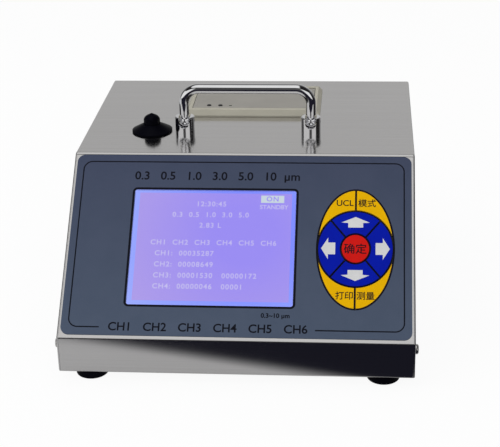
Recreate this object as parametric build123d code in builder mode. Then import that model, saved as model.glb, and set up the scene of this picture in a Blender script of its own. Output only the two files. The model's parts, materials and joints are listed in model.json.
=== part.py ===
"""Airborne particle counter: a bench instrument in a folded stainless case with a sloped control panel.

Sizes are in millimetres. X runs to the right, Y to the back and Z up.
The origin is on the resting plane, below the middle of the whole instrument.
"""

from build123d import *
from math import atan, cos, degrees, hypot, radians, sin, tan
import os

os.makedirs("parts", exist_ok=True)

# ---------------------------------------------------------------- driving dimensions

# folded case
case_width = 260.0
case_depth = 291.5
body_height = 129.3
front_strip_height = 28.1
top_depth = 178.5
sheet = 1.2
bend_radius = 1.5
rim_radius = 1.0
fit_gap = 0.15
tuck_length = 12.0
flange_height = 24.0
flange_relief = 4.0

# rubber feet, each with a moulded-in stud
foot_height = 6.7
foot_radius = 12.0
foot_toe = 1.5
foot_inset_x = 22.5
foot_inset_y = 13.0
foot_stud_radius = 2.0
foot_stud_length = 6.0

# cover screws in the side walls
screw_radius = 2.0
screw_head_radius = 3.7
screw_head_height = 2.4
screw_dome = 1.4
screw_length = 6.0
cover_screw_height = 20.0
cover_screw_inset = 8.0

# front overlay and keypad, measured in the plane of the sloped panel
overlay_side_gap = 2.5
overlay_top_margin = 2.4
overlay_bottom_margin = 2.9
overlay_corner = 6.0
overlay_thickness = 0.6
keypad_inset = 41.4
keypad_y = -2.5
oval_rx = 27.95
oval_ry = 47.4
pad_rx = 27.6
pad_ry = 30.0
centre_key_rx = 10.4
centre_key_ry = 11.4
key_gap = 0.8
key_thickness = 0.5
key_travel = 0.3
key_proud = 0.05
key_tip_height = 11.0
pad_split_angle = 51.0
circuit_thickness = 1.0
circuit_margin = 5.0
dome_radius = 3.5

# display
window_width = 122.5
window_height = 93.2
window_corner = 2.0
window_recess = 0.2
display_inset = 107.75
display_y = -2.4
module_margin = 8.0
module_depth = 8.0

# folding handle
handle_span = 100.6
handle_inset = 78.9
handle_setback = 51.0
handle_rod_radius = 4.0
handle_bar_height = 34.8
handle_bend = 12.0
pivot_height = 8.5
ball_radius = 4.25
neck_radius = 3.1
neck_length = 1.0
post_radius = 7.75
post_height = 12.0
post_edge = 0.6
slot_width = 9.0
pin_radius = 1.5
pin_inset = 0.6
running_gap = 0.05
press_gap = 0.02
post_stud_radius = 3.0
post_stud_length = 8.0
nut_height = 4.0
nut_radius = 6.0

# sampling inlet and its dust cap
inlet_inset = 52.6
inlet_setback = 49.3
nozzle_radius = 4.5
nozzle_bore = 3.3
nozzle_height = 9.0
nozzle_flange_radius = 7.0
nozzle_flange_height = 1.2
nozzle_thread_radius = 5.0
nozzle_thread_length = 8.0
nozzle_nut_radius = 8.0
inlet_port_radius = 4.2
inlet_hose_radius = 5.8
cap_brim_radius = 16.0
cap_brim_edge = 1.1
cap_neck_height = 6.0
cap_neck_radius = 7.0
cap_grip_radius = 6.5
cap_grip_sides = 8
cap_grip_turn = 9.0
cap_side_height = 9.8
cap_shoulder_radius = 5.1
cap_shoulder_height = 12.0
cap_tip_radius = 3.0
cap_tip_foot = 13.3
cap_height = 14.9
cap_clearance = 0.3
cap_seat_gap = 0.1

# panel printer in the top plate
printer_width = 111.0
printer_depth = 68.0
printer_setback = 83.4
printer_rise = 5.0
bezel_lip = 1.0
bezel_bevel = 3.0
bezel_cut_gap = 0.3
bucket_wall = 2.0
bucket_depth = 46.0
door_width = 99.0
door_gap = 0.5
door_front_strip = 8.0
door_rear_strip = 7.0
door_thickness = 2.4
hinge_radius = 1.6
hinge_pin_radius = 1.0
hinge_pin_length = 2.5
paper_exit = 3.0
paper_width = 57.0
paper_radius = 19.0
paper_core_radius = 6.0
paper_seat_gap = 0.2
platen_radius = 4.0
platen_length = 58.0
platen_shaft_radius = 1.5
platen_shaft_length = 70.0
platen_drop = 7.6
platen_setback = 5.0
platen_ear_radius = 3.2
platen_ear_thickness = 3.0
head_gap = 0.3
head_thickness = 3.0
head_width = 62.0
head_reach = 5.0
tear_bar_width = 62.0
tear_bar_depth = 4.0
tear_bar_thickness = 0.5
tooth_count = 30
tooth_height = 0.8
button_radius = 1.8
button_gap = 0.15
button_proud = 0.6
button_edge = 0.3
button_travel = 0.5
button_flange = 0.5
button_flange_height = 0.8
button_setback = 5.6
feed_button_x = -36.6
select_button_x = -27.2
lamp_x = -18.9
lamp_radius = 1.4
board_thickness = 1.6
button_board_width = 32.0
button_board_depth = 9.0
boss_radius = 1.6

# fittings in the back wall
back_row_height = 37.0
power_inset = 42.0
power_flange_width = 48.0
power_flange_height = 23.0
power_flange_thickness = 2.5
power_body_width = 27.6
power_body_height = 20.0
power_body_depth = 20.0
power_well_width = 24.2
power_well_height = 16.4
power_well_depth = 16.0
power_well_corner = 4.0
power_pin_width = 2.0
power_pin_height = 4.0
power_pin_length = 13.0
power_pin_pitch = 7.0
power_earth_offset = 2.5
switch_pitch = 42.0
switch_width = 15.0
switch_height = 24.0
switch_lip = 1.8
switch_rim = 1.2
switch_wall = 1.5
switch_body_depth = 14.0
rocker_gap = 0.3
rocker_tilt = 8.0
rocker_crest = 2.4
rocker_root = 3.4
rocker_room = 6.2
rocker_pin_radius = 1.0
rocker_pin_length = 0.9
serial_pitch = 38.0
serial_flange_width = 31.0
serial_flange_height = 12.6
serial_flange_thickness = 0.8
serial_shell_top = 17.0
serial_shell_bottom = 14.4
serial_shell_height = 8.4
serial_shell_length = 6.0
serial_body_depth = 10.0
serial_screw_pitch = 25.0
serial_screw_radius = 2.6
serial_pin_pitch = 2.77
serial_pin_bore = 0.6
serial_top_pins = 5
serial_bottom_pins = 4
vent_count = 9
vent_pitch = 8.0
vent_width = 3.0
vent_height = 24.0
vent_rise = 84.0

# air path inside
port_radius = 3.2
port_length = 8.0
hose_radius = 5.0
sensor_width = 60.0
sensor_depth = 40.0
sensor_height = 40.0
sensor_stand = 30.0
laser_radius = 9.0
laser_length = 18.0
exhaust_bore = 2.6
exhaust_reach = 12.0
exhaust_flange_radius = 7.0
exhaust_flange_thickness = 2.0
exhaust_thread_radius = 4.5
exhaust_thread_length = 5.0
barb_height = 0.8
pump_radius = 17.0
pump_foot_width = 26.0
filter_radius = 21.0
filter_thickness = 12.0
hose_slip = 0.5
pillar_radius = 3.0
pillar_inset = 6.0

# electronics inside
main_board_width = 120.0
main_board_depth = 76.0
main_board_inset = 94.0
main_board_setback = 55.75
main_board_stand = 8.0
chip_pitch_x = 30.0
chip_pitch_y = 36.0
chip_width = 15.0
chip_depth = 15.0
chip_height = 6.0
supply_width = 58.0
supply_depth = 84.0
supply_height = 38.0
supply_side_gap = 13.0
supply_setback = 88.55

# ---------------------------------------------------------------- places worked out from them

z_bottom = foot_height
z_floor = z_bottom + sheet
z_top = foot_height + body_height
z_under_top = z_top - sheet
z_strip_top = z_bottom + front_strip_height
y_front = -(case_depth + exhaust_reach) / 2
y_back = y_front + case_depth
y_inside_back = y_back - sheet
y_top_edge = y_back - top_depth
slope_run = y_top_edge - y_front
slope_rise = z_top - z_strip_top
slope_length = hypot(slope_run, slope_rise)
side_inner_x = case_width / 2 - sheet
chassis_width = 2 * (side_inner_x - fit_gap)
z_tuck = z_under_top - fit_gap
y_tuck = y_top_edge - (z_top - z_tuck) * slope_run / slope_rise
z_back_row = z_bottom + back_row_height
power_x = case_width / 2 - power_inset
switch_x = power_x - switch_pitch
serial_x = switch_x - serial_pitch
switch_body_width = switch_width - 2 * switch_rim
switch_body_height = switch_height - 2 * switch_rim

# the sloped panel: local Y runs up the slope and local Z points out of it
panel_plane = Plane(
    origin=(0, (y_front + y_top_edge) / 2, (z_strip_top + z_top) / 2),
    x_dir=(1, 0, 0),
    z_dir=(0, -slope_rise, slope_run),
)

overlay_width = case_width - 2 * overlay_side_gap
overlay_length = slope_length - overlay_top_margin - overlay_bottom_margin
overlay_y = (overlay_bottom_margin - overlay_top_margin) / 2
keypad_x = overlay_width / 2 - keypad_inset
display_x = display_inset - overlay_width / 2

handle_y = y_top_edge + handle_setback
post_left_x = handle_inset - case_width / 2
post_right_x = post_left_x + handle_span
pivot_z = z_top + pivot_height
bar_z = z_top + handle_bar_height
inlet_x = inlet_inset - case_width / 2
inlet_y = y_top_edge + inlet_setback

printer_front_y = y_top_edge + printer_setback
printer_y = printer_front_y + printer_depth / 2
printer_face_z = z_top + printer_rise
well_width = door_width + 2 * door_gap
well_front_y = printer_front_y + door_front_strip - door_gap
well_back_y = printer_front_y + printer_depth - door_rear_strip
well_floor_z = z_top - bucket_depth + bucket_wall
door_front_y = well_front_y + door_gap
door_back_y = well_back_y - paper_exit
door_under_z = printer_face_z - door_thickness
hinge_y = door_front_y + hinge_radius
hinge_z = printer_face_z - hinge_radius
platen_y = door_back_y - platen_setback
platen_z = printer_face_z - platen_drop
button_y = door_front_y + button_setback
button_board_z = door_under_z - button_flange_height - button_travel - running_gap
button_board_x = (feed_button_x + lamp_x) / 2
button_board_y = button_y + button_board_depth / 2 - button_radius
boss_y = button_board_y + button_board_depth / 2 - boss_radius
bucket_width = well_width + 2 * bucket_wall
bucket_front_y = well_front_y - bucket_wall
bucket_back_y = well_back_y + bucket_wall
bucket_y = (bucket_front_y + bucket_back_y) / 2
bucket_length = bucket_back_y - bucket_front_y

sensor_z = z_floor + sensor_stand
port_z = sensor_z + sensor_height / 2
sensor_back_y = inlet_y + sensor_depth / 2
pump_front_y = sensor_back_y + 2 * port_length + hose_slip
exhaust_port_y = y_inside_back - exhaust_thread_length - port_length
filter_back_y = exhaust_port_y - 2 * port_length
filter_front_y = filter_back_y - filter_thickness
pump_back_y = filter_front_y - 2 * port_length - hose_slip
pump_length = pump_back_y - pump_front_y

main_board_x = case_width / 2 - main_board_inset
main_board_y = y_front + main_board_setback
supply_x = case_width / 2 - supply_width / 2 - supply_side_gap
supply_y = y_inside_back - supply_setback


def along_y(x, y, z):
    """A plane through a point whose local Y axis runs to the back, for pieces turned about that axis."""
    return Plane(origin=(x, y, z), x_dir=(1, 0, 0), z_dir=(0, 0, 1))


def along_z(x, y, z):
    """A plane through a point whose local Y axis runs up."""
    return Plane(origin=(x, y, z), x_dir=(1, 0, 0), z_dir=(0, -1, 0))


def turned(plane, profile):
    """Turn a half section, given as radius and height pairs, about the local Y axis of a plane."""
    with BuildPart() as piece:
        with BuildSketch(plane):
            with BuildLine():
                Polyline(*profile, close=True)
            make_face()
        revolve(axis=Axis(plane.origin, plane.y_dir))
    return piece


def keep(builder, name):
    """Label a finished piece and write its file."""
    builder.part.label = name
    export_step(builder.part, f"parts/{name}.step")


# ---------------------------------------------------------------- folded case

foot_places = [
    (side * (case_width / 2 - foot_inset_x), y)
    for side in (-1, 1)
    for y in (y_front + foot_inset_y, y_back - foot_inset_y)
]
sensor_pillars = [
    (inlet_x + side * (sensor_width / 2 - pillar_inset), inlet_y + end * (sensor_depth / 2 - pillar_inset))
    for side in (-1, 1)
    for end in (-1, 1)
]
board_pillars = [
    (
        main_board_x + side * (main_board_width / 2 - pillar_inset),
        main_board_y + end * (main_board_depth / 2 - pillar_inset),
    )
    for side in (-1, 1)
    for end in (-1, 1)
]
cover_screw_places = [
    (side, y_front + cover_screw_inset if end < 0 else y_back - cover_screw_inset)
    for side in (-1, 1)
    for end in (-1, 1)
]
z_cover_screw = z_bottom + cover_screw_height

# one sheet makes the floor, the front strip, the sloped panel and the tuck under the top plate
with BuildPart() as chassis:
    with BuildSketch(Plane.YZ):
        with BuildLine():
            FilletPolyline(
                (y_inside_back - fit_gap, z_bottom),
                (y_front, z_bottom),
                (y_front, z_strip_top),
                (y_tuck, z_tuck),
                (y_tuck + tuck_length, z_tuck),
                radius=bend_radius,
            )
            offset(amount=sheet, side=Side.RIGHT)
        make_face()
    extrude(amount=chassis_width / 2, both=True)
    with BuildSketch(Plane.XY.offset(z_bottom)):
        with Locations((0, (y_front + y_inside_back) / 2)):
            with GridLocations(chassis_width - sheet, 0, 2, 1):
                Rectangle(sheet, case_depth - 2 * flange_relief)
    extrude(amount=flange_height)
    with BuildSketch(Plane.XY.offset(z_floor)):
        with Locations(*sensor_pillars):
            Circle(pillar_radius)
    extrude(amount=sensor_stand)
    with BuildSketch(Plane.XY.offset(z_floor)):
        with Locations(*board_pillars):
            Circle(pillar_radius)
    extrude(amount=main_board_stand)
    with BuildSketch(Plane.XY.offset(z_floor)):
        with Locations(*foot_places):
            Circle(foot_stud_radius + press_gap)
    extrude(amount=-sheet, mode=Mode.SUBTRACT)
    with BuildSketch(Plane.YZ):
        with Locations(*[(y, z_cover_screw) for side, y in cover_screw_places if side > 0]):
            Circle(screw_radius + press_gap)
    extrude(amount=case_width / 2, both=True, mode=Mode.SUBTRACT)
    with BuildSketch(panel_plane):
        with Locations((display_x, display_y)):
            RectangleRounded(window_width, window_height, window_corner)
        with Locations((keypad_x, keypad_y)):
            Ellipse(oval_rx + fit_gap, oval_ry + fit_gap)
    extrude(amount=-2 * sheet, mode=Mode.SUBTRACT)
keep(chassis, "chassis")

# the cover is one sheet too: the top plate and both side walls, which end flush with the sloped panel
with BuildPart() as cover:
    with BuildSketch(Plane.YZ) as cover_side:
        with BuildLine():
            Polyline(
                (y_front, z_bottom),
                (y_front, z_strip_top),
                (y_top_edge, z_top),
                (y_back, z_top),
                (y_back, z_bottom),
                close=True,
            )
        make_face()
        fillet(cover_side.vertices().sort_by(Axis.Y)[0:2], bend_radius)
    extrude(amount=case_width / 2, both=True)
    with BuildSketch(Plane.XY.offset(z_under_top)):
        with Locations((0, (y_front + y_back) / 2)):
            Rectangle(2 * side_inner_x, case_depth + 2)
    extrude(amount=-body_height, mode=Mode.SUBTRACT)
    fillet(cover.edges().filter_by(Axis.Y).group_by(Axis.Z)[-1], bend_radius)
    outer_sides = cover.faces().filter_by(Axis.X).group_by(Axis.X)
    rims = outer_sides[0].edges() + outer_sides[-1].edges()
    fillet(rims.filter_by_position(Axis.Y, y_front, y_top_edge), rim_radius)
    with BuildSketch(Plane.XY.offset(z_top)):
        with Locations((0, bucket_y)):
            Rectangle(bucket_width + 2 * bezel_cut_gap, bucket_length + 2 * bezel_cut_gap)
        with Locations((post_left_x, handle_y), (post_right_x, handle_y)):
            Circle(post_stud_radius + press_gap)
        with Locations((inlet_x, inlet_y)):
            Circle(nozzle_thread_radius + press_gap)
    extrude(amount=-sheet, mode=Mode.SUBTRACT)
    with BuildSketch(Plane.YZ):
        with Locations(*[(y, z_cover_screw) for side, y in cover_screw_places if side > 0]):
            Circle(screw_radius + press_gap)
    extrude(amount=case_width / 2, both=True, mode=Mode.SUBTRACT)
keep(cover, "cover")

vent_x = power_x / 2
with BuildPart() as back_panel:
    with BuildSketch(Plane.XZ.offset(-y_back)):
        with Locations((0, (z_bottom + z_under_top - fit_gap) / 2)):
            Rectangle(chassis_width, z_under_top - fit_gap - z_bottom)
        with Locations((power_x, z_back_row)):
            Rectangle(power_body_width + 2 * fit_gap, power_body_height + 2 * fit_gap, mode=Mode.SUBTRACT)
        with Locations((switch_x, z_back_row)):
            Rectangle(
                switch_body_width + 2 * fit_gap,
                switch_body_height + 2 * fit_gap,
                mode=Mode.SUBTRACT,
            )
        with Locations((serial_x, z_back_row)):
            Rectangle(serial_shell_top + 2 * fit_gap, serial_shell_height + 2 * fit_gap, mode=Mode.SUBTRACT)
        with Locations((inlet_x, port_z)):
            Circle(exhaust_thread_radius + press_gap, mode=Mode.SUBTRACT)
        with Locations((vent_x, z_bottom + vent_rise)):
            with GridLocations(vent_pitch, 0, vent_count, 1):
                SlotOverall(vent_height, vent_width, rotation=90, mode=Mode.SUBTRACT)
    extrude(amount=sheet)
    with BuildSketch(Plane.XY.offset(z_floor)):
        with Locations((0, y_inside_back - tuck_length / 2)):
            Rectangle(chassis_width - 4 * sheet, tuck_length)
    extrude(amount=sheet)
    with BuildSketch(Plane.XY.offset(z_floor)):
        with Locations(*[place for place in foot_places if place[1] > 0]):
            Circle(foot_stud_radius + fit_gap)
    extrude(amount=sheet, mode=Mode.SUBTRACT)
keep(back_panel, "back_panel")

foot_names = ["foot_left_front", "foot_left_rear", "foot_right_front", "foot_right_rear"]
for foot_name, (foot_x, foot_y) in zip(foot_names, foot_places):
    with BuildPart() as foot:
        with BuildSketch():
            with Locations((foot_x, foot_y)):
                Circle(foot_radius)
        extrude(amount=foot_height)
        fillet(foot.edges().group_by(Axis.Z)[0], foot_toe)
        with BuildSketch(Plane.XY.offset(foot_height)):
            with Locations((foot_x, foot_y)):
                Circle(foot_stud_radius)
        extrude(amount=foot_stud_length)
    keep(foot, foot_name)

screw_names = ["screw_left_front", "screw_left_rear", "screw_right_front", "screw_right_rear"]
for screw_name, (side, screw_y) in zip(screw_names, cover_screw_places):
    screw_plane = Plane(
        origin=(side * case_width / 2, screw_y, z_cover_screw), x_dir=(0, 1, 0), z_dir=(side, 0, 0)
    )
    with BuildPart() as cover_screw:
        with BuildSketch(screw_plane):
            Circle(screw_head_radius)
        extrude(amount=screw_head_height)
        fillet(cover_screw.edges().sort_by(Axis.X)[-1 if side > 0 else 0], screw_dome)
        with BuildSketch(screw_plane):
            Circle(screw_radius)
        extrude(amount=-screw_length)
    keep(cover_screw, screw_name)

# ---------------------------------------------------------------- overlay, keypad and display

with BuildPart() as overlay:
    with BuildSketch(panel_plane):
        with Locations((0, overlay_y)):
            RectangleRounded(overlay_width, overlay_length, overlay_corner)
        with Locations((display_x, display_y)):
            RectangleRounded(window_width, window_height, window_corner, mode=Mode.SUBTRACT)
        with Locations((keypad_x, keypad_y)):
            Ellipse(oval_rx + fit_gap, oval_ry + fit_gap, mode=Mode.SUBTRACT)
    extrude(amount=overlay_thickness)
keep(overlay, "overlay")

key_floor = overlay_thickness + key_proud - key_thickness
dome_top = key_floor - key_travel - press_gap
key_plane = Plane(
    origin=panel_plane.from_local_coords((keypad_x, keypad_y, key_floor)),
    x_dir=panel_plane.x_dir,
    z_dir=panel_plane.z_dir,
)

# four function keys round the pad, four arrow keys on it and one key in the middle
with BuildSketch(key_plane) as function_faces:
    Ellipse(oval_rx, oval_ry)
    Ellipse(pad_rx + key_gap, pad_ry + key_gap, mode=Mode.SUBTRACT)
    Rectangle(key_gap, 2 * oval_ry, mode=Mode.SUBTRACT)
    Rectangle(2 * oval_rx, 2 * key_tip_height, mode=Mode.SUBTRACT)
with BuildSketch(key_plane) as arrow_faces:
    Ellipse(pad_rx, pad_ry)
    Ellipse(centre_key_rx + key_gap, centre_key_ry + key_gap, mode=Mode.SUBTRACT)
    Rectangle(3 * pad_rx, key_gap, rotation=pad_split_angle, mode=Mode.SUBTRACT)
    Rectangle(3 * pad_rx, key_gap, rotation=-pad_split_angle, mode=Mode.SUBTRACT)
with BuildSketch(key_plane) as centre_face:
    Ellipse(centre_key_rx, centre_key_ry)

arrow_reach = (centre_key_rx + pad_rx) / 2
function_reach = (pad_ry + oval_ry) / 2
key_places = {
    "key_up": (arrow_faces, 0, arrow_reach),
    "key_down": (arrow_faces, 0, -arrow_reach),
    "key_left": (arrow_faces, -arrow_reach, 0),
    "key_right": (arrow_faces, arrow_reach, 0),
    "key_top_left": (function_faces, -centre_key_rx, function_reach),
    "key_top_right": (function_faces, centre_key_rx, function_reach),
    "key_bottom_left": (function_faces, -centre_key_rx, -function_reach),
    "key_bottom_right": (function_faces, centre_key_rx, -function_reach),
    "key_centre": (centre_face, 0, 0),
}
for key_name, (faces, key_x, key_y) in key_places.items():
    place = key_plane.from_local_coords((key_x, key_y, 0))
    with BuildPart() as key:
        extrude(faces.sketch.faces().sort_by_distance(place)[0], amount=key_thickness)
    keep(key, key_name)

circuit_plane = panel_plane.offset(-sheet - circuit_thickness)
with BuildPart() as keypad_circuit:
    with BuildSketch(circuit_plane):
        with Locations((keypad_x, keypad_y)):
            Ellipse(oval_rx + circuit_margin, oval_ry + circuit_margin)
    extrude(amount=circuit_thickness)
    with BuildSketch(panel_plane.offset(-sheet)):
        with Locations(*[(keypad_x + x, keypad_y + y) for faces, x, y in key_places.values()]):
            Circle(dome_radius)
    extrude(amount=sheet + dome_top)
keep(keypad_circuit, "keypad_circuit")

with BuildPart() as display_window:
    with BuildSketch(panel_plane.offset(-sheet)):
        with Locations((display_x, display_y)):
            RectangleRounded(window_width - 2 * fit_gap, window_height - 2 * fit_gap, window_corner - fit_gap)
    extrude(amount=sheet + overlay_thickness - window_recess)
keep(display_window, "display_window")

with BuildPart() as display_module:
    with BuildSketch(panel_plane.offset(-sheet)):
        with Locations((display_x, display_y)):
            Rectangle(window_width + 2 * module_margin, window_height + 2 * module_margin)
    extrude(amount=-module_depth)
    with BuildSketch(panel_plane.offset(-sheet - module_depth)):
        with Locations((display_x, display_y)):
            Rectangle(window_width, window_height)
    extrude(amount=-board_thickness)
keep(display_module, "display_module")

# ---------------------------------------------------------------- folding handle

leg_foot_z = pivot_z + ball_radius + neck_length
with BuildPart() as handle:
    with BuildLine() as handle_path:
        FilletPolyline(
            (post_left_x, handle_y, leg_foot_z),
            (post_left_x, handle_y, bar_z),
            (post_right_x, handle_y, bar_z),
            (post_right_x, handle_y, leg_foot_z),
            radius=handle_bend,
        )
    with BuildSketch(Plane(origin=handle_path.line @ 0, z_dir=handle_path.line % 0)):
        Circle(handle_rod_radius)
    sweep()
    with Locations((post_left_x, handle_y, pivot_z), (post_right_x, handle_y, pivot_z)):
        Sphere(ball_radius)
        Cylinder(neck_radius, leg_foot_z - pivot_z, align=(Align.CENTER, Align.CENTER, Align.MIN))
        Cylinder(pin_radius + running_gap, 3 * ball_radius, rotation=(0, 90, 0), mode=Mode.SUBTRACT)
keep(handle, "handle")

for side_name, post_x in (("left", post_left_x), ("right", post_right_x)):
    with BuildPart() as post:
        with BuildSketch(Plane.XY.offset(z_top)):
            with Locations((post_x, handle_y)):
                Circle(post_radius)
        extrude(amount=post_height)
        chamfer(post.edges().group_by(Axis.Z)[-1], post_edge)
        with BuildSketch(Plane.XZ.offset(-handle_y)):
            with Locations((post_x, pivot_z)):
                Circle(slot_width / 2)
                Rectangle(slot_width, post_height, align=(Align.CENTER, Align.MIN))
        extrude(amount=2 * post_radius, both=True, mode=Mode.SUBTRACT)
        with Locations((post_x, handle_y, pivot_z)):
            Cylinder(pin_radius + press_gap, 3 * post_radius, rotation=(0, 90, 0), mode=Mode.SUBTRACT)
        with BuildSketch(Plane.XY.offset(z_top)):
            with Locations((post_x, handle_y)):
                Circle(post_stud_radius)
        extrude(amount=-post_stud_length)
    keep(post, f"post_{side_name}")

    with BuildPart() as pivot_pin:
        with Locations((post_x, handle_y, pivot_z)):
            Cylinder(pin_radius, 2 * (post_radius - pin_inset), rotation=(0, 90, 0))
    keep(pivot_pin, f"pivot_pin_{side_name}")

    with BuildPart() as post_nut:
        with BuildSketch(Plane.XY.offset(z_under_top)):
            with Locations((post_x, handle_y)):
                RegularPolygon(nut_radius, 6)
                Circle(post_stud_radius + press_gap, mode=Mode.SUBTRACT)
        extrude(amount=-nut_height)
    keep(post_nut, f"post_nut_{side_name}")

# ---------------------------------------------------------------- sampling inlet and dust cap

nozzle_foot_z = z_under_top - nozzle_thread_length - port_length
nozzle = turned(
    along_z(inlet_x, inlet_y, z_top),
    [
        (nozzle_bore, nozzle_height),
        (nozzle_radius, nozzle_height),
        (nozzle_radius, nozzle_flange_height),
        (nozzle_flange_radius, nozzle_flange_height),
        (nozzle_flange_radius, 0),
        (nozzle_thread_radius, 0),
        (nozzle_thread_radius, -sheet - nozzle_thread_length),
        (inlet_port_radius, -sheet - nozzle_thread_length),
        (inlet_port_radius, nozzle_foot_z - z_top),
        (nozzle_bore, nozzle_foot_z - z_top),
    ],
)
keep(nozzle, "inlet_nozzle")

with BuildPart() as nozzle_nut:
    with BuildSketch(Plane.XY.offset(z_under_top)):
        with Locations((inlet_x, inlet_y)):
            RegularPolygon(nozzle_nut_radius, 6)
            Circle(nozzle_thread_radius + press_gap, mode=Mode.SUBTRACT)
    extrude(amount=-nut_height)
keep(nozzle_nut, "inlet_nut")

# the cap: a conical brim and an eight-sided grip with a rounded shoulder and a small pointed tip
cap_seat_z = z_top + cap_seat_gap
cap_axis_plane = along_z(inlet_x, inlet_y, cap_seat_z)
cap_axis = Axis(cap_axis_plane.origin, cap_axis_plane.y_dir)
with BuildPart() as cap:
    with BuildSketch(cap_axis_plane):
        with BuildLine():
            Polyline(
                (0, 0),
                (cap_brim_radius, 0),
                (cap_brim_radius, cap_brim_edge),
                (cap_neck_radius, cap_neck_height),
                (0, cap_neck_height),
                close=True,
            )
        make_face()
    revolve(axis=cap_axis)
    with BuildSketch(Plane.XY.offset(cap_seat_z)):
        with Locations((inlet_x, inlet_y)):
            RegularPolygon(cap_grip_radius, cap_grip_sides, rotation=cap_grip_turn)
    extrude(amount=cap_height)
    with BuildSketch(cap_axis_plane):
        with BuildLine():
            Line((0, cap_height), (cap_tip_radius, cap_tip_foot))
            ThreePointArc(
                (cap_tip_radius, cap_tip_foot),
                (cap_shoulder_radius, cap_shoulder_height),
                (cap_grip_radius, cap_side_height),
            )
            Polyline(
                (cap_grip_radius, cap_side_height),
                (cap_brim_radius, cap_side_height),
                (cap_brim_radius, cap_height),
                (0, cap_height),
            )
        make_face()
    revolve(axis=cap_axis, mode=Mode.SUBTRACT)
    with Locations((inlet_x, inlet_y, cap_seat_z)):
        Cylinder(
            nozzle_flange_radius + cap_clearance,
            nozzle_flange_height + cap_clearance,
            align=(Align.CENTER, Align.CENTER, Align.MIN),
            mode=Mode.SUBTRACT,
        )
        Cylinder(
            nozzle_radius + cap_clearance,
            nozzle_height + cap_clearance,
            align=(Align.CENTER, Align.CENTER, Align.MIN),
            mode=Mode.SUBTRACT,
        )
keep(cap, "inlet_cap")

# ---------------------------------------------------------------- panel printer

bevel_angle = degrees(atan(bezel_bevel / (printer_rise - bezel_lip)))
tear_bar_y = well_back_y + tear_bar_depth / 2
with BuildPart() as printer_body:
    with BuildSketch(Plane.XY.offset(z_top)):
        with Locations((0, printer_y)):
            Rectangle(printer_width, printer_depth)
    extrude(amount=bezel_lip)
    with BuildSketch(Plane.XY.offset(z_top + bezel_lip)):
        with Locations((0, printer_y)):
            Rectangle(printer_width, printer_depth)
    extrude(amount=printer_rise - bezel_lip, taper=bevel_angle)
    with BuildSketch(Plane.XY.offset(z_top)):
        with Locations((0, bucket_y)):
            Rectangle(bucket_width, bucket_length)
    extrude(amount=-bucket_depth)
    with BuildSketch(Plane.XY.offset(well_floor_z)):
        with Locations((0, (well_front_y + well_back_y) / 2)):
            Rectangle(well_width, well_back_y - well_front_y)
    extrude(amount=bucket_depth + printer_rise, mode=Mode.SUBTRACT)
    with Locations((0, hinge_y, hinge_z)):
        Cylinder(
            hinge_pin_radius + running_gap,
            door_width + 2 * (hinge_pin_length + door_gap),
            rotation=(0, 90, 0),
            mode=Mode.SUBTRACT,
        )
    with BuildSketch(Plane.XY.offset(printer_face_z)):
        with Locations((0, tear_bar_y)):
            Rectangle(tear_bar_width + 2 * fit_gap, tear_bar_depth + 2 * fit_gap)
    extrude(amount=-tear_bar_thickness, mode=Mode.SUBTRACT)
keep(printer_body, "printer_body")

ear_x = platen_length / 2 + platen_ear_thickness
with BuildPart() as printer_door:
    with BuildSketch(Plane.XY.offset(door_under_z)):
        with Locations((0, (hinge_y + door_back_y) / 2)):
            Rectangle(door_width, door_back_y - hinge_y)
    extrude(amount=door_thickness)
    with Locations((0, hinge_y, hinge_z)):
        Cylinder(hinge_radius, door_width, rotation=(0, 90, 0))
        Cylinder(hinge_pin_radius, door_width + 2 * hinge_pin_length, rotation=(0, 90, 0))
    for ear_side in (-1, 1):
        with BuildSketch(Plane.YZ.offset(ear_side * ear_x)):
            with Locations((platen_y, platen_z)):
                Circle(platen_ear_radius)
                Rectangle(2 * platen_ear_radius, door_under_z - platen_z, align=(Align.CENTER, Align.MIN))
                Circle(platen_shaft_radius + running_gap, mode=Mode.SUBTRACT)
        extrude(amount=platen_ear_thickness / 2, both=True)
    with BuildSketch(Plane.XY.offset(button_board_z)):
        with Locations((button_board_x, boss_y)):
            with GridLocations(button_board_width - 2 * boss_radius, 0, 2, 1):
                Circle(boss_radius)
    extrude(amount=door_under_z - button_board_z)
    with BuildSketch(Plane.XY.offset(door_under_z)):
        with Locations((feed_button_x, button_y), (select_button_x, button_y)):
            Circle(button_radius + button_gap)
        with Locations((lamp_x, button_y)):
            Circle(lamp_radius + press_gap)
    extrude(amount=door_thickness, mode=Mode.SUBTRACT)
keep(printer_door, "printer_door")

with BuildPart() as platen:
    with Locations((0, platen_y, platen_z)):
        Cylinder(platen_radius, platen_length, rotation=(0, 90, 0))
        Cylinder(platen_shaft_radius, platen_shaft_length, rotation=(0, 90, 0))
keep(platen, "platen")

for button_name, button_x in (("feed_button", feed_button_x), ("select_button", select_button_x)):
    button = turned(
        along_z(button_x, button_y, door_under_z),
        [
            (0, -button_flange_height),
            (button_radius + button_flange, -button_flange_height),
            (button_radius + button_flange, -running_gap),
            (button_radius, -running_gap),
            (button_radius, door_thickness + button_proud - button_edge),
            (button_radius - button_edge, door_thickness + button_proud),
            (0, door_thickness + button_proud),
        ],
    )
    keep(button, button_name)

with BuildPart() as lamp:
    with Locations((lamp_x, button_y, button_board_z)):
        Cylinder(
            lamp_radius,
            printer_face_z - button_board_z,
            align=(Align.CENTER, Align.CENTER, Align.MIN),
        )
keep(lamp, "status_lamp")

with BuildPart() as button_board:
    with BuildSketch(Plane.XY.offset(button_board_z)):
        with Locations((button_board_x, button_board_y)):
            Rectangle(button_board_width, button_board_depth)
    extrude(amount=-board_thickness)
keep(button_board, "button_board")

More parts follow.
